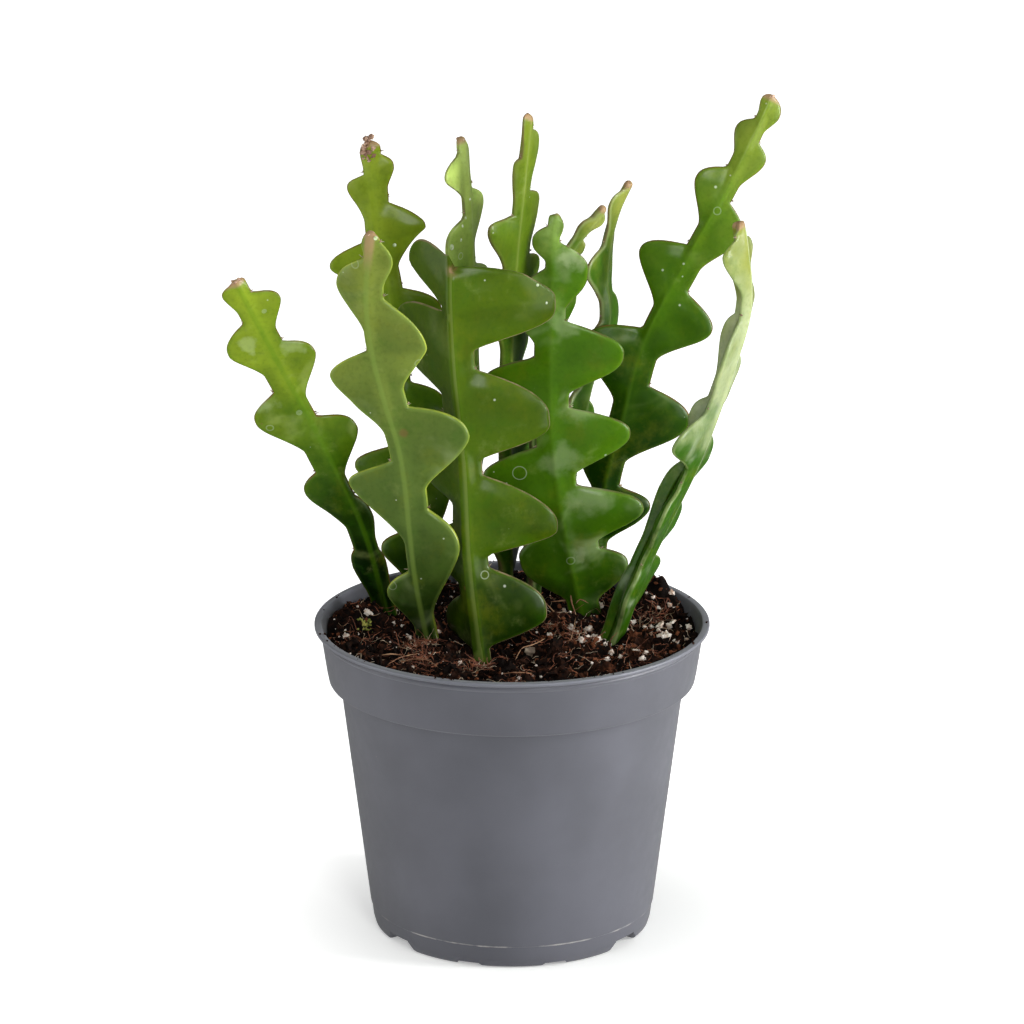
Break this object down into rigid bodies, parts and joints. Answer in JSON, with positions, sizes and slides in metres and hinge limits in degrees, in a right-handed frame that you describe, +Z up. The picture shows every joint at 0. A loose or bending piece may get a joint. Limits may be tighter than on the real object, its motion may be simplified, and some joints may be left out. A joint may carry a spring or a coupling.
{
  "type": "potted fishbone cactus",
  "caption": "Fishbone cactus with flat, deeply lobed stems rising from soil in a round plastic nursery pot.",
  "frame": {"origin": "on the pot's axis, at the floor that its foot ring stands on", "axes": "+Z up along the pot's axis; the front is -Y, +X is to the right seen from the front"},
  "size_m": [0.1667, 0.1217, 0.2497],
  "materials": {
    "pot_plastic": "satin",
    "soil": "matte",
    "stem_yellow_green": "satin",
    "stem_grey_green": "satin",
    "stem_deep_green": "satin",
    "stem_pale_green": "satin",
    "stem_green": "satin"
  },
  "bodies": {
    "root": {"pot": "pot_plastic", "soil": "soil", "stem_far_left": "stem_yellow_green", "stem_front_left": "stem_grey_green", "stem_front_middle": "stem_deep_green", "stem_middle_right": "stem_green", "stem_tall_right": "stem_green", "stem_right": "stem_pale_green", "stem_back_left": "stem_green", "stem_back_narrow": "stem_green", "stem_back_middle": "stem_green", "stem_back_thin": "stem_green", "stem_back_right": "stem_green"}
  },
  "joints": []
}
